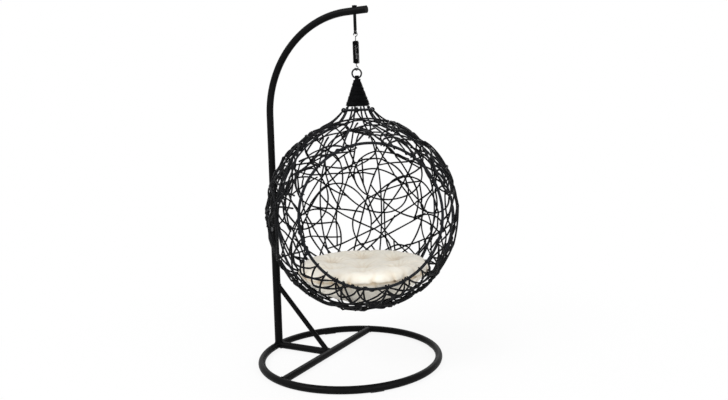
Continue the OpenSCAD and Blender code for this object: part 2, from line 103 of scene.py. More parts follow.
def add_surroundings():
    world = bpy.data.worlds.new("surroundings")
    scene.world = world
    world.use_nodes = True
    tree = world.node_tree
    tree.nodes.clear()
    out = tree.nodes.new("ShaderNodeOutputWorld")
    mix = tree.nodes.new("ShaderNodeMixShader")
    soft = tree.nodes.new("ShaderNodeBackground")
    soft.inputs["Color"].default_value = (1.0, 1.0, 1.0, 1.0)
    soft.inputs["Strength"].default_value = 0.55
    white = tree.nodes.new("ShaderNodeBackground")
    white.inputs["Color"].default_value = (1.0, 1.0, 1.0, 1.0)
    white.inputs["Strength"].default_value = 1.0
    tree.links.new(seen_directly(tree), mix.inputs["Fac"])
    tree.links.new(soft.outputs[0], mix.inputs[1])
    tree.links.new(white.outputs[0], mix.inputs[2])
    tree.links.new(mix.outputs[0], out.inputs["Surface"])

    made = bpy.data.meshes.new("floor")
    made.from_pydata([(-25, -25, 0), (25, -25, 0), (25, 25, 0), (-25, 25, 0)], [], [(0, 1, 2, 3)])
    floor = bpy.data.objects.new("floor", made)
    scene.collection.objects.link(floor)
    paint = bpy.data.materials.new("pale_floor")
    paint.use_nodes = True
    tree = paint.node_tree
    tree.nodes.clear()
    out = tree.nodes.new("ShaderNodeOutputMaterial")
    mix = tree.nodes.new("ShaderNodeMixShader")
    share = tree.nodes.new("ShaderNodeMath")
    share.operation = "MULTIPLY"
    spot = tree.nodes.new("ShaderNodeTexCoord")
    away = tree.nodes.new("ShaderNodeVectorMath")
    away.operation = "LENGTH"
    fade = tree.nodes.new("ShaderNodeMapRange")
    fade.inputs["From Min"].default_value = 0.25
    fade.inputs["From Max"].default_value = 0.9
    fade.inputs["To Min"].default_value = 0.88
    fade.inputs["To Max"].default_value = 1.0
    tree.links.new(spot.outputs["Object"], away.inputs[0])
    tree.links.new(away.outputs["Value"], fade.inputs["Value"])
    tree.links.new(fade.outputs["Result"], share.inputs[1])
    matte = tree.nodes.new("ShaderNodeBsdfDiffuse")
    matte.inputs["Color"].default_value = (0.9, 0.9, 0.9, 1.0)
    glow = tree.nodes.new("ShaderNodeEmission")
    glow.inputs["Strength"].default_value = 1.0
    tree.links.new(seen_directly(tree), share.inputs[0])
    tree.links.new(share.outputs[0], mix.inputs["Fac"])
    tree.links.new(matte.outputs[0], mix.inputs[1])
    tree.links.new(glow.outputs[0], mix.inputs[2])
    tree.links.new(mix.outputs[0], out.inputs["Surface"])
    made.materials.append(paint)


def add_lamp(name, place, aim, size, watts):
    data = bpy.data.lights.new(name, "AREA")
    data.shape = "DISK"
    data.size = size
    data.energy = watts
    lamp = bpy.data.objects.new(name, data)
    lamp.location = place
    lamp.rotation_euler = (Vector(aim) - Vector(place)).to_track_quat("-Z", "Y").to_euler()
    scene.collection.objects.link(lamp)


add_camera()
add_surroundings()
add_lamp("key", (-0.9, -2.2, 2.3), (0.0, 0.0, 0.32), 1.3, 44.0)
add_lamp("fill", (2.3, -1.0, 1.3), (0.0, 0.0, 0.35), 1.4, 22.0)
add_lamp("front", (1.0, -1.9, 0.4), (0.0, 0.0, 0.22), 1.2, 5.0)
add_lamp("back", (-0.6, 2.0, 1.9), (0.0, 0.0, 0.4), 1.4, 18.0)


# Materials. Colour, roughness and bump come from noise in the piece's own coordinates, in metres.
def new_material(name):
    paint = bpy.data.materials.new(name)
    paint.use_nodes = True
    tree = paint.node_tree
    shader = tree.nodes["Principled BSDF"]
    spot = tree.nodes.new("ShaderNodeTexCoord")
    return paint, tree, shader, spot.outputs["Object"]


def add_noise(tree, where, scale, detail=3.0, rough=0.5, stretch=None):
    if stretch:
        mapped = tree.nodes.new("ShaderNodeMapping")
        mapped.inputs["Scale"].default_value = stretch
        tree.links.new(where, mapped.inputs["Vector"])
        where = mapped.outputs["Vector"]
    made = tree.nodes.new("ShaderNodeTexNoise")
    made.inputs["Scale"].default_value = scale
    made.inputs["Detail"].default_value = detail
    made.inputs["Roughness"].default_value = rough
    tree.links.new(where, made.inputs["Vector"])
    return made.outputs["Fac"]


def add_ramp(tree, value, stops):
    ramp = tree.nodes.new("ShaderNodeValToRGB")
    edge = ramp.color_ramp.elements
    while len(edge) < len(stops):
        edge.new(0.5)
    for spot, (place, colour) in zip(edge, stops):
        spot.position = place
        spot.color = (*colour, 1.0)
    tree.links.new(value, ramp.inputs["Fac"])
    return ramp.outputs["Color"]


def add_range(tree, value, low, high):
    made = tree.nodes.new("ShaderNodeMapRange")
    made.inputs["From Min"].default_value = 0.25
    made.inputs["From Max"].default_value = 0.75
    made.inputs["To Min"].default_value = low
    made.inputs["To Max"].default_value = high
    tree.links.new(value, made.inputs["Value"])
    return made.outputs["Result"]


def add_bump(tree, height, strength, depth, under=None):
    made = tree.nodes.new("ShaderNodeBump")
    made.inputs["Strength"].default_value = strength
    made.inputs["Distance"].default_value = depth
    tree.links.new(height, made.inputs["Height"])
    if under:
        tree.links.new(under, made.inputs["Normal"])
    return made.outputs["Normal"]


def coated_metal(name, dark, light, rough_low, rough_high, gloss):
    """Powder-coated steel: an orange-peel skin, and slightly paler rubbed patches."""
    paint, tree, shader, spot = new_material(name)
    patch = add_noise(tree, spot, 26.0, 4.0, 0.6)
    tree.links.new(add_ramp(tree, patch, [(0.3, dark), (0.72, light)]), shader.inputs["Base Color"])
    skin = add_noise(tree, spot, 1500.0, 2.0, 0.5)
    tree.links.new(add_range(tree, patch, rough_low, rough_high), shader.inputs["Roughness"])
    wave = add_bump(tree, add_noise(tree, spot, 420.0, 2.0, 0.5), 0.25, 0.0002)
    tree.links.new(add_bump(tree, skin, 0.35, 0.0001, wave), shader.inputs["Normal"])
    shader.inputs["IOR"].default_value = gloss
    return paint


def bare_metal(name, dark, light, rough_low, rough_high):
    """Zinc-plated steel wire: drawing marks along it and cloudy plating."""
    paint, tree, shader, spot = new_material(name)
    cloud = add_noise(tree, spot, 240.0, 4.0, 0.6)
    tree.links.new(add_ramp(tree, cloud, [(0.3, dark), (0.7, light)]), shader.inputs["Base Color"])
    tree.links.new(add_range(tree, cloud, rough_low, rough_high), shader.inputs["Roughness"])
    marks = add_noise(tree, spot, 900.0, 3.0, 0.6, (1.0, 1.0, 0.15))
    tree.links.new(add_bump(tree, marks, 0.2, 0.0001), shader.inputs["Normal"])
    shader.inputs["Metallic"].default_value = 1.0
    return paint


def moulded(name, dark, light, rough_low, rough_high, gloss):
    """Moulded plastic or rubber with a fine grain."""
    paint, tree, shader, spot = new_material(name)
    cloud = add_noise(tree, spot, 120.0, 3.0, 0.5)
    tree.links.new(add_ramp(tree, cloud, [(0.3, dark), (0.7, light)]), shader.inputs["Base Color"])
    tree.links.new(add_range(tree, cloud, rough_low, rough_high), shader.inputs["Roughness"])
    grain = add_noise(tree, spot, 1300.0, 3.0, 0.6)
    tree.links.new(add_bump(tree, grain, 0.4, 0.0001), shader.inputs["Normal"])
    shader.inputs["IOR"].default_value = gloss
    return paint


def strand_plastic(name, dark, light, gloss):
    """Resin strand: fine ridges along it from the die, from its second map, and worn high spots."""
    paint, tree, shader, spot = new_material(name)
    wear = add_noise(tree, spot, 70.0, 4.0, 0.6)
    tree.links.new(add_ramp(tree, wear, [(0.35, dark), (0.75, light)]), shader.inputs["Base Color"])
    tree.links.new(add_range(tree, wear, 0.5, 0.66), shader.inputs["Roughness"])
    round_it = tree.nodes.new("ShaderNodeUVMap")
    round_it.uv_map = "along"
    ridge = add_noise(tree, round_it.outputs["UV"], 9.0, 3.0, 0.55, (1.0, 2.0, 1.0))
    grain = add_bump(tree, add_noise(tree, spot, 700.0, 2.0, 0.5), 0.15, 0.0001)
    tree.links.new(add_bump(tree, ridge, 0.3, 0.0002, grain), shader.inputs["Normal"])
    shader.inputs["IOR"].default_value = gloss
    return paint


black_coat = coated_metal("black_coat", (0.0026, 0.0026, 0.0028), (0.0048, 0.0048, 0.005), 0.36, 0.5, 1.14)
frame_coat = coated_metal("frame_coat", (0.0058, 0.0066, 0.0085), (0.011, 0.0125, 0.016), 0.4, 0.54, 1.2)
spring_coat = coated_metal("spring_coat", (0.0022, 0.0022, 0.0024), (0.004, 0.004, 0.0042), 0.5, 0.65, 1.11)
zinc = bare_metal("zinc_wire", (0.08, 0.081, 0.083), (0.15, 0.153, 0.156), 0.34, 0.5)
plug_black = moulded("plug_black", (0.0025, 0.0025, 0.0026), (0.005, 0.005, 0.0052), 0.5, 0.65, 1.15)
pad_black = moulded("pad_black", (0.014, 0.014, 0.014), (0.022, 0.022, 0.022), 0.7, 0.85, 1.3)
strand_black = strand_plastic("strand_black", (0.004, 0.0043, 0.005), (0.0105, 0.011, 0.0125), 1.18)
cone_black = strand_plastic("cone_black", (0.0018, 0.0019, 0.0022), (0.0042, 0.0044, 0.005), 1.11)

COATS = {
    "base_ring": black_coat, "cross_bar": black_coat, "spine_bar": black_coat, "lower_post": black_coat,
    "brace": black_coat, "arch_arm": black_coat, "hanger_eye_bolt": black_coat, "hanger_nut": black_coat,
    "floor_pads": pad_black, "arm_plug": plug_black, "lock_bolt": zinc, "lock_nut": zinc,
    "upper_hook": zinc, "lower_hook": zinc, "upper_spring_cup": plug_black, "lower_spring_cup": plug_black,
    "hanging_ring": frame_coat, "cone_core": cone_black, "neck_hoop": frame_coat, "neck_ribs": frame_coat,
    "frame_ribs": frame_coat, "foot_hoop": frame_coat, "mouth_hoop": frame_coat,
}
for name, coat in COATS.items():
    slots = nodes[name].data.materials
    slots.clear()
    slots.append(coat)


# Woven strands. A strand is a list of unit vectors from the ball's middle, with a height for each.
# In the part's source: radius of the inner layer, of a strand, and of a strand with half a gap
SOURCE_R, SOURCE_STRAND, SOURCE_ROOM = 0.1917, 0.0015, 0.0017
# The mouth's rod: its radius, its distance from the ball's middle, and how far off strands keep
ROD_R, ROD_AWAY, ROD_KEEP = 0.00275, 0.19295, 0.00465
# The strands laid here: radius, then mean, lowest and highest distance from the ball's middle
STRAND_R = 0.0019
MEAN_R, LOW_R, HIGH_R = 0.1955, 0.1918, 0.2008
LAYER_R = (0.1925, 0.1957, 0.1989)
# A bulge of the ball towards one side, and that side's turn
BULGE, BULGE_TURN = 0.0022, math.radians(30.0)
MOUTH_KEEP = MOUTH_HALF + math.asin(ROD_KEEP / ROD_AWAY)
NECK_KEEP = tuple(math.radians(a) for a in (20.047, 14.605, 12.517))
NECK_OPEN = math.radians(9.5)
# Distance between points of a strand, and points between bends, in a piece, at an end, in a crossing
STEP = 0.0045
KNOT_STEPS, PIECE_STEPS, END_STEPS, CROSS_STEPS = 14, 12, 6, 12
rng = np.random.default_rng(20)


def unit(v):
    return v / np.linalg.norm(v, axis=-1, keepdims=True)


def polar_way(polar, turn):
    return np.array((math.sin(polar) * math.cos(turn), math.sin(polar) * math.sin(turn), math.cos(polar)))


def across(way):
    """Two unit vectors square to a direction."""
    side = np.cross(way, (0.0, 0.0, 1.0))
    if np.linalg.norm(side) < 0.1:
        side = np.cross(way, (1.0, 0.0, 0.0))
    side = unit(side)
    return side, np.cross(way, side)


mouth_way = np.array(MOUTH_WAY)


def cad_loops():
    """The loops of the part's source: where each one is, how wide, and on which layer."""
    count, golden = 56, math.pi * (3.0 - math.sqrt(5.0))
    polars = [math.acos(1.0 - (2 * i + 1) / count) for i in range(count)]
    ways = np.array([polar_way(p, math.radians(190.0) + i * golden) for i, p in enumerate(polars)])
    layers = [0 if p > math.radians(155.0) else i % 3 for i, p in enumerate(polars)]
    apart = np.arccos(np.clip(ways @ ways.T, -1.0, 1.0))
    made = []
    for i in range(count):
        own = min(apart[i, j] for j in range(count) if j != i and layers[j] == layers[i]) / 2
        room = min(
            math.radians(23.0),
            own - math.asin(SOURCE_ROOM / SOURCE_R),
            math.acos(ways[i] @ mouth_way) - MOUTH_KEEP,
            polars[i] - NECK_KEEP[layers[i]] - math.asin(SOURCE_STRAND / SOURCE_R),
        )
        if room > math.radians(7.0):
            made.append((ways[i], room, layers[i]))
    return made


def walk(way, ahead, bends):
    """A path over the ball from a point, which turns by a bend at each step. A bend of 0 is straight on."""
    step = STEP / MEAN_R
    go, turn = math.cos(step), math.sin(step)
    path = [way.copy()]
    for bend in bends:
        way, ahead = way * go + ahead * turn, ahead * go - way * turn
        ahead = (ahead + way.cross(ahead) * bend * step).normalized()
        way = way.normalized()
        path.append(way.copy())
    return np.array(path)


def slow_bends(count, most):
    """Bends that change slowly and at random."""
    knots = rng.normal(0.0, most, count // KNOT_STEPS + 4)
    return np.interp(np.arange(count) / KNOT_STEPS, np.arange(len(knots)), knots)


def tail_bends(first):
    """A loop's end, which straightens out and runs on."""
    count = int(rng.integers(14, 46))
    bends = slow_bends(count, 0.7)
    fade = np.exp(-np.arange(count) / 4.0)
    return first * fade + bends * (1.0 - fade)


def loop_strand(way, room):
    """A strand that comes in, bends round part of the loop's place and runs on."""
    side, up = across(way)
    turn = rng.uniform(0.0, 6.28)
    out = math.cos(turn) * side + math.sin(turn) * up
    start = Vector(math.cos(room) * way + math.sin(room) * out)
    ahead = Vector(np.cross(way, out))
    count = int(2.0 * math.pi * math.sin(room) * MEAN_R / STEP)
    tight = 1.0 / math.tan(room)
    lean = rng.uniform(0.0, 6.28)
    around = np.linspace(0.0, 2.0 * math.pi, int(count * rng.uniform(0.4, 0.85)))
    bends = tight * (1.0 + 0.3 * np.sin(around + lean) + 0.15 * np.sin(2.0 * around))
    after = walk(start, ahead, np.concatenate((bends, tail_bends(tight))))
    before = walk(start, -ahead, tail_bends(-tight))
    return np.concatenate((before[:0:-1], after))


def keep_out(ways, axis, keep, deep):
    """Pieces of a strand that stay outside a round opening. They run along its edge for a while."""
    edge = keep + 0.02
    angle = np.arccos(np.clip(ways @ axis, -1.0, 1.0))
    runs = np.split(np.arange(len(ways)), np.flatnonzero(np.diff((angle > keep - deep).astype(int))) + 1)
    made = []
    for run in runs:
        if angle[run[0]] <= keep - deep or len(run) < 18:
            continue
        part, near = ways[run], angle[run]
        out = unit(part - (part @ axis)[:, None] * axis)
        moved = np.where(near < edge, edge + 0.22 * (edge - near), near)
        made.append(np.cos(moved)[:, None] * axis + np.sin(moved)[:, None] * out)
    return made


def open_parts(ways):
    """Pieces of a strand outside the mouth and the neck."""
    top = np.array((0.0, 0.0, 1.0))
    outside = keep_out(ways, mouth_way, MOUTH_KEEP, 0.045)
    return [q for p in outside for q in keep_out(p, top, NECK_OPEN, 0.05)]


def even_steps(ways):
    gone = np.concatenate(([0.0], np.cumsum(np.linalg.norm(np.diff(ways, axis=0), axis=1)))) * MEAN_R
    count = max(8, int(gone[-1] / STEP))
    spots = np.linspace(0.0, gone[-1], count)
    return unit(np.stack([np.interp(spots, gone, ways[:, k]) for k in range(3)], axis=1))


class Lay:
    """What is laid on the ball so far, in small cells, and how much more each cell wants."""

    def __init__(self, total):
        count = 1600
        i = np.arange(count)
        tall = 1.0 - (2.0 * i + 1.0) / count
        wide = np.sqrt(1.0 - tall * tall)
        turn = i * math.pi * (3.0 - math.sqrt(5.0))
        self.cells = np.stack([wide * np.cos(turn), wide * np.sin(turn), tall], axis=1)
        facing = self.cells @ mouth_way
        self.shut = (facing > math.cos(MOUTH_KEEP)) | (tall > math.cos(NECK_OPEN))
        # More at the foot, the shoulder and the back, and less below the mouth
        low, high = np.clip((-tall - 0.4) / 0.3, 0.0, 1.0), np.clip((tall - 0.35) / 0.3, 0.0, 1.0)
        want = 1.0 + 0.6 * low + 0.4 * high
        want = want * (1.0 + 0.35 * np.clip((-facing - 0.5) / 0.35, 0.0, 1.0))
        rim = np.clip((facing - 0.5) / 0.2, 0.0, 1.0) * np.clip(-tall, 0.0, 1.0)
        want = want * (1.0 - 0.25 * rim)
        near = np.exp((self.cells @ self.cells.T - 1.0) * 420.0) * ~self.shut
        self.near = near / near.sum(axis=1, keepdims=True)
        self.total = total
        self.full = total / STEP / np.sum(want * ~self.shut)
        self.want = want * self.full
        self.held = np.zeros(count)
        self.length = 0.0
        self.laid, self.ran = np.zeros((0, 3)), np.zeros((0, 3))

    def hits(self, ways):
        return np.argmax(ways @ self.cells.T, axis=1)

    def lack(self):
        """How bare each cell is for the length laid so far. The mouth and the neck want none."""
        level = 0.15 + 0.85 * self.length / self.total
        return np.where(self.shut, -4.0, (self.want * level - self.near @ self.held) / self.full)

    def add(self, ways):
        np.add.at(self.held, self.hits(ways), 1.0)
        self.length += len(ways) * STEP

    def settle(self, ways):
        """Remembers where a finished strand runs and which way."""
        self.laid = np.concatenate((self.laid, ways[::2]))
        self.ran = np.concatenate((self.ran, unit(np.gradient(ways, axis=0))[::2]))

    def beside(self, ways):
        """The share of a piece that runs close beside a finished strand."""
        some, heading = ways[::3], unit(np.gradient(ways, axis=0))[::3]
        close = (some @ self.laid.T > 0.9991) & (np.abs(heading @ self.ran.T) > 0.86)
        return np.mean(np.any(close, axis=1))

    def worth(self, ways, lack):
        return np.mean(lack[self.hits(ways)]) - 1.5 * self.beside(ways)


def steered_strand(lay):
    """A long strand that bends, piece by piece, to where the ball is still bare."""
    lack = lay.lack()
    way = Vector(lay.cells[np.argmax(lack)])
    side, up = across(np.array(way))
    turns = rng.uniform(0.0, 6.28, 8)
    headings = [Vector(math.cos(t) * side + math.sin(t) * up) for t in turns]
    ahead = max(headings, key=lambda h: lay.worth(walk(way, h, np.zeros(PIECE_STEPS)), lack))
    path, bend = [np.array(way)], 0.0
    for _ in range(int(rng.integers(9, 26) * (1.1 - 0.65 * lay.length / lay.total))):
        tried = []
        for aim in (-2.3, -1.1, 0.0, 1.1, 2.3):
            new = aim + rng.normal(0.0, 0.3)
            part = walk(way, ahead, np.linspace(bend, new, PIECE_STEPS))
            tried.append((lay.worth(part, lack) - 0.1 * abs(new - bend) - 0.05 * abs(new), new, part))
        value, bend, part = max(tried, key=lambda t: t[0])
        if value < -1.3:
            break
        lay.add(part[1:])
        lack = lay.lack()
        path.extend(part[1:])
        way = Vector(part[-1])
        ahead = Vector(part[-1] - part[-2])
        ahead = (ahead - way * ahead.dot(way)).normalized()
    return np.array(path)


def lay_strands(total):
    """Loops of the source first, then strands laid where the ball is still bare."""
    lay = Lay(total)
    strands = []
    for way, room, layer in cad_loops():
        for part in open_parts(loop_strand(way, room)):
            strands.append((even_steps(part), layer))
            lay.add(part)
            lay.settle(part)
    while lay.length < total:
        for part in open_parts(steered_strand(lay)):
            strands.append((even_steps(part), int(rng.integers(0, 3))))
            lay.settle(part)
    return strands


def near_points(place, owner, reach):
    """Pairs of points that lie close together, from different strands or far apart along one."""
    tree = kdtree.KDTree(len(place))
    for i, p in enumerate(place):
        tree.insert(p, i)
    tree.balance()
    return [(i, j, far) for i, p in enumerate(place) for _, j, far in tree.find_range(p, reach)
            if owner[i] != owner[j] or abs(i - j) > 8]


def tuck_ends(strands):
    """Shortens each strand so that its ends lie under or over another strand, away from that one's ends."""
    for turn in range(3):
        ways = np.concatenate([s[0] for s in strands])
        owner = np.concatenate([np.full(len(s[0]), k) for k, s in enumerate(strands)])
        first = np.concatenate(([0], np.cumsum([len(s[0]) for s in strands])))
        crossed = [[] for s in strands]
        for i, j, far in near_points(ways * MEAN_R, owner, 1.6 * STRAND_R):
            other = owner[j]
            if min(j - first[other], first[other + 1] - 1 - j) > END_STEPS:
                crossed[owner[i]].append(i - first[owner[i]])
        strands = [
            (ways[min(spots):max(spots) + 1], layer)
            for (ways, layer), spots in zip(strands, crossed)
            if spots and max(spots) - min(spots) > 10
        ]
    return strands


def weave_heights(strands):
    """Distances from the ball's middle, so that strands pass over and under each other in turn."""
    ways = np.concatenate([s[0] for s in strands])
    owner = np.concatenate([np.full(len(s[0]), k) for k, s in enumerate(strands)])
    first = np.concatenate(([0], np.cumsum([len(s[0]) for s in strands])))
    gap = np.concatenate([np.minimum(np.arange(len(s[0])), np.arange(len(s[0]))[::-1]) for s in strands])
    thick = 2.0 * STRAND_R + 0.0001
    close = [[] for k in strands]
    for i, j, far in near_points(ways * MEAN_R, owner, thick):
        close[owner[i]].append((i, j, far))
    over, met = {}, []
    for k, pairs in enumerate(close):
        last = 1 if k % 2 else -1
        for i, j, far in sorted(pairs):
            spot = (k, owner[j], (i - first[k]) // CROSS_STEPS, (j - first[owner[j]]) // CROSS_STEPS)
            found = None
            for da in (0, -1, 1):
                for db in (0, -1, 1):
                    found = found or over.get((spot[0], spot[1], spot[2] + da, spot[3] + db))
            if not found:
                found = -last
            if (gap[i] < END_STEPS) != (gap[j] < END_STEPS):
                found = -1 if gap[i] < END_STEPS else 1
            over[spot] = found
            over[(spot[1], spot[0], spot[3], spot[2])] = -found
            last = found
            met.append((i, j, found, math.sqrt(max(thick * thick - far * far, 0.0))))
    home = np.concatenate([np.full(len(s[0]), LAYER_R[s[1]]) for s in strands])
    home = LOW_R + (home - LOW_R) * np.clip(gap / END_STEPS, 0.0, 1.0)
    bulge = BULGE * np.clip(ways @ polar_way(math.pi / 2.0, BULGE_TURN), 0.0, 1.0)
    home = home + bulge
    one = np.array([m[0] for m in met])
    two = np.array([m[1] for m in met])
    sign = np.array([m[2] for m in met], dtype=float)
    need = np.array([m[3] for m in met])
    times = np.bincount(one, minlength=len(home)) + np.bincount(two, minlength=len(home))
    ends = np.zeros(len(home), dtype=bool)
    ends[first[:-1]] = True
    ends[first[1:] - 1] = True
    tall = home.copy()
    for turn in range(160):
        lack = np.clip(need - sign * (tall[one] - tall[two]), 0.0, None)
        push = np.bincount(one, sign * lack, len(home)) - np.bincount(two, sign * lack, len(home))
        tall = tall + 0.9 * push / np.maximum(times, 1) + 0.01 * (home - tall)
        even = 0.5 * tall + 0.25 * (np.roll(tall, 1) + np.roll(tall, -1))
        tall = np.where(ends, tall, even) if turn < 150 else tall
        tall = np.clip(tall, LOW_R, HIGH_R + bulge)
    return [tall[first[k]:first[k + 1]] for k in range(len(strands))]


# Units of a tube's map for each metre along it
MAP_SCALE = 25.0


def tube_mesh(name, paths, radii, sides, paint, closed=None):
    """One mesh of round tubes along lists of points, with a map that runs along each tube."""
    points, faces, maps = [], [], []
    for number, (path, radius) in enumerate(zip(paths, radii)):
        path = np.asarray(path)
        count = len(path)
        shut = closed is not None and closed[number]
        if shut:
            ahead = np.roll(path, -1, axis=0) - np.roll(path, 1, axis=0)
        else:
            ahead = np.gradient(path, axis=0)
        ahead = unit(ahead)
        side = np.zeros_like(path)
        guess = np.cross(ahead[0], (0.31, 0.77, 0.55))
        for i in range(count):
            guess = guess - (guess @ ahead[i]) * ahead[i]
            guess = guess / np.linalg.norm(guess)
            side[i] = guess
        other = np.cross(ahead, side)
        thick = np.broadcast_to(np.asarray(radius, dtype=float), (count,))
        gone = np.concatenate(([0.0], np.cumsum(np.linalg.norm(np.diff(path, axis=0), axis=1)))) * MAP_SCALE
        base = len(points)
        twist = 0.0
        if shut:
            last = np.cross(ahead[0], side[-1] - (side[-1] @ ahead[0]) * ahead[0])
            twist = math.atan2(side[0] @ last, side[0] @ side[-1])
        for i in range(count):
            for k in range(sides):
                a = 2.0 * math.pi * k / sides + twist * i / count
                points.append(path[i] + thick[i] * (math.cos(a) * side[i] + math.sin(a) * other[i]))
        for i in range(count if shut else count - 1):
            n = (i + 1) % count
            far = gone[i] + 0.1 if n == 0 else gone[n]
            for k in range(sides):
                m = (k + 1) % sides
                here, there = base + i * sides, base + n * sides
                faces.append((here + k, here + m, there + m, there + k))
                low, high = k / sides, (k + 1) / sides
                maps.extend(((gone[i], low), (gone[i], high), (far, high), (far, low)))
        if not shut:
            faces.append(tuple(base + k for k in reversed(range(sides))))
            faces.append(tuple(base + (count - 1) * sides + k for k in range(sides)))
            maps.extend([(gone[0], 0.0)] * sides + [(gone[-1], 0.0)] * sides)
    made = bpy.data.meshes.new(name)
    made.from_pydata([tuple(p) for p in points], [], faces)
    layer = made.uv_layers.new(name="along")
    layer.data.foreach_set("uv", np.array(maps, dtype=np.float32).ravel())
    made.polygons.foreach_set("use_smooth", np.ones(len(made.polygons), dtype=bool))
    made.materials.append(paint)
    made.update()
    piece = bpy.data.objects.new(name, made)
    scene.collection.objects.link(piece)
    return piece


def finish_piece(piece, body, slot, *stands_for):
    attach(piece, body)
    if stands_for:
        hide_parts(*stands_for)


ball_mid = np.array(BALL)


def add_weave():
    strands = tuck_ends(lay_strands(43.0))
    heights = weave_heights(strands)
    for layer, node in enumerate(("weave_inner", "weave_middle", "weave_outer")):
        paths, radii = [], []
        for (ways, own), tall in zip(strands, heights):
            if own == layer:
                paths.append(ball_mid + ways * tall[:, None])
                along = np.linspace(0.0, len(ways) * 0.35, len(ways))
                radii.append(STRAND_R * (1.0 + 0.07 * np.sin(along + 9.0 * tall[0] * 1000.0)))
        piece = tube_mesh(node + "_strands", paths, radii, 6, strand_black)
        finish_piece(piece, "basket", "cane_strand", node)


# The middle and radius of the ring that the mouth's rod makes, and a wound strand's distance from the rod
rod_mid = ball_mid + mouth_way * ROD_AWAY * math.cos(MOUTH_HALF)
rod_ring_r = ROD_AWAY * math.sin(MOUTH_HALF)
GRIP = ROD_R + STRAND_R * 0.62
TAIL_STEPS = 12
# For each laced strand: its first angle, its stitches, the angle between them and their depth
LACES = ((0.35, 8, 0.34, 0.2), (0.52, 8, 0.29, 0.3), (3.6, 3, 0.45, 0.14), (5.1, 3, 0.42, 0.14))


def wrap_path(spot, turns, lean, pitch):
    """A strand that comes off the ball, winds round the mouth's rod and goes back to the ball."""
    side, up = across(mouth_way)
    n = int(turns * 16)
    path = []
    for i in range(n + 1):
        t = i / n
        place = spot + lean * (t - 0.5) * turns * pitch / rod_ring_r
        out = math.cos(place) * side + math.sin(place) * up
        a = math.pi * 0.15 + 2.0 * math.pi * turns * t
        path.append(rod_mid + out * (rod_ring_r + GRIP * math.cos(a)) + mouth_way * GRIP * math.sin(a))
    path = np.array(path)
    head, tail = [], []
    for ends, near, way in ((head, path[0], -lean), (tail, path[-1], lean)):
        out = unit(near - rod_mid)
        along = np.cross(mouth_way, out) * way
        for k in range(1, TAIL_STEPS + 1):
            far = 0.0042 * k
            drop = far * 0.5 + 0.0016 * k
            gone = near + along * far + out * drop * 0.55 - mouth_way * drop - ball_mid
            want = 0.1975 - 0.005 * (k / TAIL_STEPS) ** 2
            blend = min(1.0, k / 4.0)
            ends.append(ball_mid + gone * (1.0 + blend * (want / np.linalg.norm(gone) - 1.0)))
    return np.concatenate((np.array(head)[::-1], path, np.array(tail)))


def lace_path(first, count, step, deep):
    """A strand laced to the mouth's rod: over it, down inside the weave and back up outside."""
    side, down = across(mouth_way)
    path = []
    spots = first + step * np.arange(count) + rng.uniform(-0.05, 0.05, count)
    for k, spot in enumerate(spots):
        rod = rod_mid + rod_ring_r * (math.cos(spot) * side + math.sin(spot) * down)
        rise = unit(rod - ball_mid)
        inward = unit(mouth_way - (mouth_way @ rise) * rise)
        for b in np.linspace(0.1, math.pi - 0.1, 9):
            path.append(rod + GRIP * (math.cos(b) * rise + math.sin(b) * inward))
        if k + 1 < count:
            far = deep * rng.uniform(0.75, 1.25)
            for t in np.linspace(0.06, 0.94, 22):
                turn = spot + (spots[k + 1] - spot) * t
                out = math.cos(turn) * side + math.sin(turn) * down
                angle = MOUTH_HALF + 0.02 + far * (1.0 - abs(2.0 * t - 1.0) ** 1.6)
                way = math.cos(angle) * mouth_way + math.sin(angle) * out
                path.append(ball_mid + (0.1925 + 0.0065 * t) * way)
    return np.array(path)


def add_wraps():
    """Strands wound round the mouth's rod, tight or loose, and strands laced to it."""
    paths = []
    spot = 0.1
    while spot < 6.2:
        turns = float(rng.choice((1.0, 1.0, 1.0, 2.0, 2.0)))
        lean = float(rng.choice((-1.0, 1.0)))
        pitch = rng.uniform(0.0031, 0.006)
        paths.append(wrap_path(spot, turns, lean, pitch))
        spot += rng.uniform(0.7, 1.3)
    for k in range(5):
        turns = rng.uniform(1.5, 3.5)
        lean = float(rng.choice((-1.0, 1.0)))
        spot = 1.25 * k + rng.uniform(0.0, 0.5)
        pitch = rng.uniform(0.016, 0.03)
        paths.append(wrap_path(spot, turns, lean, pitch))
    for lace in LACES:
        paths.append(lace_path(*lace))
    radii = []
    for path in paths:
        deep = (path - rod_mid) @ mouth_way
        off = np.linalg.norm(path - rod_mid - deep[:, None] * mouth_way, axis=1) - rod_ring_r
        slack = np.clip((np.hypot(off, deep) - 0.0044) / 0.006, 0.0, 1.0)
        radii.append(STRAND_R * (0.65 + 0.35 * slack))
    piece = tube_mesh("mouth_wraps", paths, radii, 6, strand_black)
    finish_piece(piece, "basket", "cane_strand")


# Distance of a strand on the ball's shoulder from the ball's middle
SHOULDER_R = 0.198


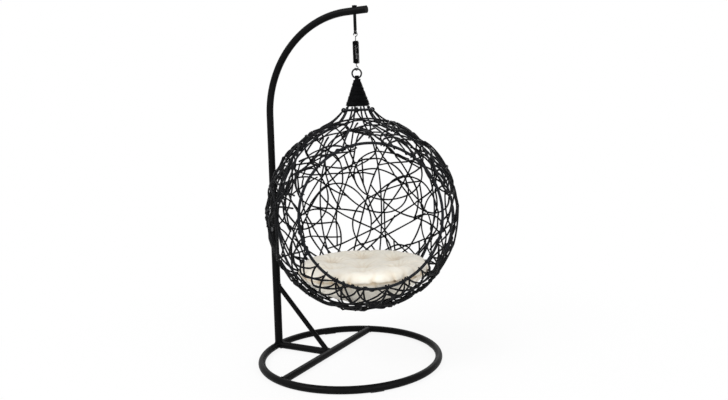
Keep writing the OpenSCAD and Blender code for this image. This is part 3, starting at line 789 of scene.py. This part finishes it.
def lash_path(turn, turns, pitch, ends):
    """A strand that climbs from the ball's shoulder, winds round the neck hoop and runs down again."""
    hoop_r, hoop_z, wire_r = 0.03, 0.526, 0.0019
    grip = wire_r + 0.95 * STRAND_R
    n = int(turns * 14)
    path = []
    for i in range(n + 1):
        t = i / n
        a = 2.0 * math.pi * turns * t - 0.7
        spot = turn + (t - 0.5) * turns * pitch / hoop_r
        r, z = hoop_r + grip * math.cos(a), hoop_z + grip * math.sin(a)
        path.append((r, z, spot))
    runs = []
    for (r0, z0, spot), (swing, polar) in zip((path[0], path[-1]), ends):
        far = SHOULDER_R * math.sin(polar)
        run = []
        for k in range(1, 25):
            u = k / 24
            r = r0 + (far - r0) * u
            rise = z0 - BALL.z - math.sqrt(SHOULDER_R ** 2 - r0 * r0)
            lift = rise * max(0.0, 1.0 - (r - r0) / 0.034) ** 2
            ball_r = SHOULDER_R - 0.005 * max(0.0, (u - 0.7) / 0.3)
            run.append((r, BALL.z + math.sqrt(ball_r ** 2 - r * r) + lift, spot + swing * u ** 0.8))
        runs.append(run)
    whole = runs[0][::-1] + path + runs[1] if ends else path
    return np.array([(HANG.x + r * math.cos(a), r * math.sin(a), z) for r, z, a in whole])


def add_lashings():
    """Strands that tie the neck hoop to the ball's shoulder, between the ribs, and a knot on the hoop."""
    # In degrees, but for the turns round the hoop: place, turns, and each end's swing and angle from the top
    ties = ((222, 1, -34, 31, 26, 34), (40, 1, -34, 29, 44, 36), (127, 1, -44, 33, 36, 38))
    paths = []
    for turn, turns, left, left_end, right, right_end in ties:
        ends = [(math.radians(a), math.radians(b)) for a, b in ((left, left_end), (right, right_end))]
        paths.append(lash_path(math.radians(turn), turns, 0.0034, ends))
    paths.append(lash_path(math.radians(-66.0), 2, 0.0026, [])[2:-2])
    piece = tube_mesh("neck_lashings", paths, [0.9 * STRAND_R] * len(paths), 6, strand_black)
    finish_piece(piece, "basket", "cane_strand")


# Welds of the stand: a rippled bead where one tube meets another
RING_R, TUBE_R, POST_R, BRACE_R = 0.186, 0.00725, 0.00875, 0.00525
BEAD_POINTS = 72


def rod_gap(p, start, way, radius):
    away = p - start
    return (away - way * away.dot(way)).length - radius


def ring_gap(p):
    return math.hypot(math.hypot(p.x - RING.x, p.y) - RING_R, p.z - RING.z) - TUBE_R


def weld_bead(start, way, radius, reach, gap):
    """The closed line round a tube, from start along way, where it meets what gap measures to."""
    side = way.orthogonal().normalized()
    other = way.cross(side)
    path = []
    for k in range(BEAD_POINTS):
        a = 2.0 * math.pi * k / BEAD_POINTS
        out = side * math.cos(a) + other * math.sin(a)
        far = 0.0
        while far < reach and gap(start + out * radius + way * far) > 0.0004:
            far += 0.0002
        spot = start + out * (radius + 0.0003) + way * far
        spot.z = max(spot.z, 0.0016)
        path.append(spot)
    return np.array(path)


def add_welds():
    up, ahead, left = Vector((0.0, 0.0, 1.0)), Vector((1.0, 0.0, 0.0)), Vector((0.0, 1.0, 0.0))
    level = Vector((0.0, 0.0, RING.z))
    cross = Vector((RING.x - 0.0505, 0.0, RING.z))
    foot, head = Vector((cross.x - 0.005, 0.0, RING.z)), Vector((POST.x, 0.0, 0.147))
    fall = (foot - head).normalized()
    half = (foot + head) / 2.0
    spine = Vector((POST.x + 0.06, 0.0, RING.z))

    def to_post(p):
        return rod_gap(p, POST, up, POST_R)

    def to_cross(p):
        return rod_gap(p, cross, left, TUBE_R)

    def to_spine(p):
        return min(rod_gap(p, level, ahead, TUBE_R), to_cross(p))

    def to_foot(p):
        return min(to_post(p), ring_gap(p))

    tall = 0.05 - RING.z
    paths = [
        weld_bead(POST + up * 0.05, -up, POST_R, tall, ring_gap),
        weld_bead(spine, -ahead, TUBE_R, 0.07, to_foot),
        weld_bead(spine, ahead, TUBE_R, 0.09, to_cross),
        weld_bead(half, -fall, BRACE_R, 0.12, to_post),
        weld_bead(half, fall, BRACE_R, 0.12, to_spine),
        weld_bead(cross + left * 0.12, left, TUBE_R, 0.08, ring_gap),
        weld_bead(cross - left * 0.12, -left, TUBE_R, 0.08, ring_gap),
    ]
    ripple = 0.0011 * (1.0 + 0.16 * np.sin(np.arange(BEAD_POINTS) * 2.0 * math.pi * 18.0 / BEAD_POINTS))
    piece = tube_mesh("weld_beads", paths, [ripple] * len(paths), 8, black_coat, [True] * len(paths))
    finish_piece(piece, "stand", "black_steel")


add_weave()
add_wraps()
add_lashings()
add_welds()


# Spring: a round wire wound close, which stretches between its two cups
def add_spring():
    foot, top, coil_r, wire_r, curls = 0.6217, 0.6680, 0.0057, 0.00116, 17
    n = curls * 28
    path = []
    for i in range(n + 1):
        t = i / n
        a = 2.0 * math.pi * curls * t
        z = foot + wire_r + (top - foot - 2.0 * wire_r) * t
        path.append((HANG.x + coil_r * math.cos(a), coil_r * math.sin(a), z))
    piece = tube_mesh("spring_coil", [path], [wire_r], 8, spring_coat)
    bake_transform(piece)
    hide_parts("spring")


# Cone: one strand wound tightly from the ring down to the neck
def add_cone():
    top, foot, turns, wire_r = 0.5899, 0.5341, 21.0, 0.00135
    n = int(turns * 30)
    path = []
    for i in range(n + 1):
        t = i / n
        a = 2.0 * math.pi * turns * t
        slack = 0.0003 * math.sin(1.7 * a / 6.28 + 2.0) + 0.00025 * math.sin(0.61 * a)
        r = 0.006 + 0.0184 * t ** 1.06 + slack
        z = top - wire_r - (top - foot - 2.0 * wire_r) * t + 0.00022 * math.sin(0.83 * a + 1.0)
        path.append((HANG.x + r * math.cos(a), r * math.sin(a), z))
    piece = tube_mesh("cone_wrap", [path], [wire_r], 8, cone_black)
    finish_piece(piece, "basket", "cane_strand", "cone_winding")


add_spring()
add_cone()


# Cushion: sewn from two rounds, tufted, and stuffed by cloth under pressure
SEAM_Z, SEAM_R, FLOOR_Z, BOWL_R = 0.19317, 0.1427, 0.13347, 0.1857
CROWN, DISH, TUFT_DEEP = 0.034, 0.018, 0.013
TUFT_RING, TUFTS = 0.078, 6
tuft_spots = [(0.0, 0.0)] + [
    (TUFT_RING * math.cos(2.0 * math.pi * k / TUFTS), TUFT_RING * math.sin(2.0 * math.pi * k / TUFTS))
    for k in range(TUFTS)
]


def tuft_near(x, y, spread):
    """How close a point is to a sewn tuft, from 0 to 1."""
    return max(math.exp(-((x - u) ** 2 + (y - v) ** 2) / spread ** 2) for u, v in tuft_spots)


def cushion_top(s, x, y):
    hollow = DISH * (1.0 - s * s) ** 1.5
    dimple = TUFT_DEEP * tuft_near(x, y, 0.021) * (1.0 - s ** 4)
    return SEAM_Z + CROWN * math.sqrt(1.0 - s ** 6) - hollow - dimple


def cushion_low(s, r):
    bowl = BALL.z - math.sqrt(BOWL_R ** 2 - r * r)
    side = SEAM_Z - (SEAM_Z - FLOOR_Z) * math.sqrt(1.0 - s ** 6)
    return max(FLOOR_Z, bowl + (SEAM_Z - bowl) * s ** 12, side)


def cushion_blank(sides, rings, shrink):
    """The two rounds as a closed form, a little smaller than the stuffed cushion."""
    points, faces = [], []
    for low in (False, True):
        for i in range(1, rings + 1):
            s = (i / rings) ** 0.7
            if low and i == rings:
                break
            for k in range(sides):
                a = 2.0 * math.pi * k / sides
                r = (SEAM_R - shrink) * s
                x, y = r * math.cos(a), r * math.sin(a)
                inset = shrink * (1.0 - s ** 8)
                z = cushion_low(s, r) + inset if low else cushion_top(s, x, y) - inset
                points.append((x, y, z))
    top, bottom = len(points), len(points) + 1
    points.append((0.0, 0.0, cushion_top(0.0, 0.0, 0.0) - shrink))
    points.append((0.0, 0.0, FLOOR_Z + shrink))

    def at(low, i, k):
        if i == rings - 1:
            return i * sides + k % sides
        return (rings * sides if low else 0) + i * sides + k % sides

    for k in range(sides):
        faces.append((top, at(False, 0, k), at(False, 0, k + 1)))
        faces.append((bottom, at(True, 0, k + 1), at(True, 0, k)))
        for i in range(rings - 1):
            j, m = i + 1, k + 1
            faces.append((at(False, i, k), at(False, j, k), at(False, j, m), at(False, i, m)))
            faces.append((at(True, i, k), at(True, i, m), at(True, j, m), at(True, j, k)))
    return [(x + HANG.x, y, z) for x, y, z in points], faces


def apply_all(piece):
    """The piece's mesh with its modifiers in it."""
    seen = piece.evaluated_get(bpy.context.evaluated_depsgraph_get())
    made = bpy.data.meshes.new_from_object(seen)
    piece.modifiers.clear()
    piece.data = made


def inside_basket(p):
    """The nearest place to p that is clear of the ribs and the foot hoop."""
    away = p - BALL
    if away.length > BOWL_R - 0.0003:
        p = BALL + away.normalized() * (BOWL_R - 0.0003)
    p.z = max(p.z, FLOOR_Z + 0.0002)
    return p


def stuff_cushion(piece):
    """Blows the sewn form up under pressure, by a little. The tufts and the seam are held."""
    most = 0.014
    held = piece.vertex_groups.new(name="sewn")
    start = [v.co.copy() for v in piece.data.vertices]
    for i, p in enumerate(start):
        x, y = p.x - HANG.x, p.y
        seam = math.exp(-((p.z - SEAM_Z) / 0.005) ** 2) if math.hypot(x, y) > 0.8 * SEAM_R else 0.0
        held.add([i], min(1.0, max(tuft_near(x, y, 0.009) ** 2, 0.85 * seam)), "REPLACE")
    cloth = piece.modifiers.new("cloth", "CLOTH")
    work = cloth.settings
    work.quality = 6
    work.mass = 0.3
    work.tension_stiffness = 12.0
    work.compression_stiffness = 8.0
    work.shear_stiffness = 6.0
    work.bending_stiffness = 0.6
    work.use_pressure = True
    work.uniform_pressure_force = 4.0
    work.vertex_group_mass = "sewn"
    work.effector_weights.gravity = 0.0
    for number in range(1, 21):
        scene.frame_set(number)
    apply_all(piece)
    scene.frame_set(1)
    for v, was in zip(piece.data.vertices, start):
        moved = v.co - was
        if moved.length > most:
            moved = moved.normalized() * most
        v.co = inside_basket(was + moved)


def crease_cushion(piece):
    """Puckers along the seam and folds from the tufts. Returns, for each point, painted shade from 0 to 1,
    which grows with how deep it lies in a fold, a pucker, the seam or a tuft's dimple.
    """
    painted_shade = []
    for v in piece.data.vertices:
        p = v.co
        x, y = p.x - HANG.x, p.y
        far, turn = math.hypot(x, y), math.atan2(y, x)
        low = noise.noise(p * 30.0)
        fold_and_painted_shade = 0.0
        if p.z > SEAM_Z - 0.004:
            for u, w in tuft_spots:
                dx, dy = x - u, y - w
                near = math.hypot(dx, dy)
                if 0.004 < near < 0.05:
                    a = math.atan2(dy, dx)
                    ray = math.cos(7.0 * a + 5.0 * u * 60.0 + 2.5 * low) ** 6
                    fold_and_painted_shade = max(fold_and_painted_shade, ray * (1.0 - near / 0.05) * min(1.0, near / 0.012))
        edge = math.exp(-((p.z - SEAM_Z) / 0.016) ** 2) if far > 0.75 * SEAM_R else 0.0
        pull = (0.5 + 0.5 * math.cos(26.0 * turn + 4.0 * low + 1.5 * math.sin(3.0 * turn))) ** 3
        seam = math.exp(-((p.z - SEAM_Z) / 0.0028) ** 2) if far > 0.75 * SEAM_R else 0.0
        dent = 0.0034 * fold_and_painted_shade + 0.0036 * edge * pull + 0.0016 * seam
        bump = 0.0011 * noise.noise(p * 55.0) + 0.0006 * noise.noise(p * 130.0)
        v.co = inside_basket(p - v.normal * (dent - bump))
        # Painted shade: how much tan each point gets, most in the folds, the puckers along the seam, the
        # seam itself and round the tufts
        tuft = tuft_near(x, y, 0.014) if p.z > SEAM_Z - 0.004 else 0.0
        painted_shade.append(min(1.0, 0.5 * fold_and_painted_shade + 0.7 * edge * pull + 0.8 * seam + 0.65 * tuft))
    return painted_shade


def plush(name):
    """Short cream pile: fine grain, soft patches where the pile lies another way, and painted shade in tan
    in the folds, the puckers, the seam and round the tufts.
    """
    paint, tree, shader, spot = new_material(name)
    patch = add_noise(tree, spot, 34.0, 4.0, 0.6)
    cream = add_ramp(tree, patch, [(0.3, (0.84, 0.785, 0.675)), (0.7, (0.91, 0.872, 0.78))])
    # Painted shade: the points' crease shading, read here to mix tan into the cream
    fold_and_painted_shade = tree.nodes.new("ShaderNodeAttribute")
    fold_and_painted_shade.attribute_name = "fold_and_painted_shade"
    mix = tree.nodes.new("ShaderNodeMix")
    mix.data_type = "RGBA"
    mix.blend_type = "MIX"
    tree.links.new(fold_and_painted_shade.outputs["Fac"], mix.inputs["Factor"])
    tree.links.new(cream, mix.inputs["A"])
    # The tan of the painted shade in the folds, puckers, seam and tufts
    mix.inputs["B"].default_value = (0.66, 0.53, 0.37, 1.0)
    tree.links.new(mix.outputs["Result"], shader.inputs["Base Color"])
    tree.links.new(add_range(tree, patch, 0.85, 0.98), shader.inputs["Roughness"])
    pile = add_bump(tree, add_noise(tree, spot, 420.0, 4.0, 0.65), 0.6, 0.0012)
    fine = add_bump(tree, add_noise(tree, spot, 1500.0, 2.0, 0.6), 0.5, 0.0004, pile)
    tree.links.new(fine, shader.inputs["Normal"])
    shader.inputs["Sheen Weight"].default_value = 0.25
    shader.inputs["Sheen Roughness"].default_value = 0.5
    shader.inputs["IOR"].default_value = 1.3
    return paint


def add_cushion():
    points, faces = cushion_blank(96, 22, 0.005)
    made = bpy.data.meshes.new("cushion_cover")
    made.from_pydata(points, [], faces)
    piece = bpy.data.objects.new("cushion_cover", made)
    scene.collection.objects.link(piece)
    again = piece.modifiers.new("remesh", "REMESH")
    again.mode = "VOXEL"
    again.voxel_size = 0.005
    apply_all(piece)
    stuff_cushion(piece)
    ease = piece.modifiers.new("ease", "SMOOTH")
    ease.factor = 0.5
    ease.iterations = 2
    finer = piece.modifiers.new("finer", "SUBSURF")
    finer.levels = 1
    finer.render_levels = 1
    apply_all(piece)
    painted_shade = crease_cushion(piece)
    # The painted shade is kept on the points for the material to read
    painted_shade_layer = piece.data.attributes.new("fold_and_painted_shade", "FLOAT", "POINT")
    painted_shade_layer.data.foreach_set("value", painted_shade)
    piece.data.materials.clear()
    piece.data.materials.append(plush("cushion_plush"))
    piece.data.polygons.foreach_set("use_smooth", np.ones(len(piece.data.polygons), dtype=bool))
    finish_piece(piece, "cushion", "cushion_fabric", "cushion")


add_cushion()
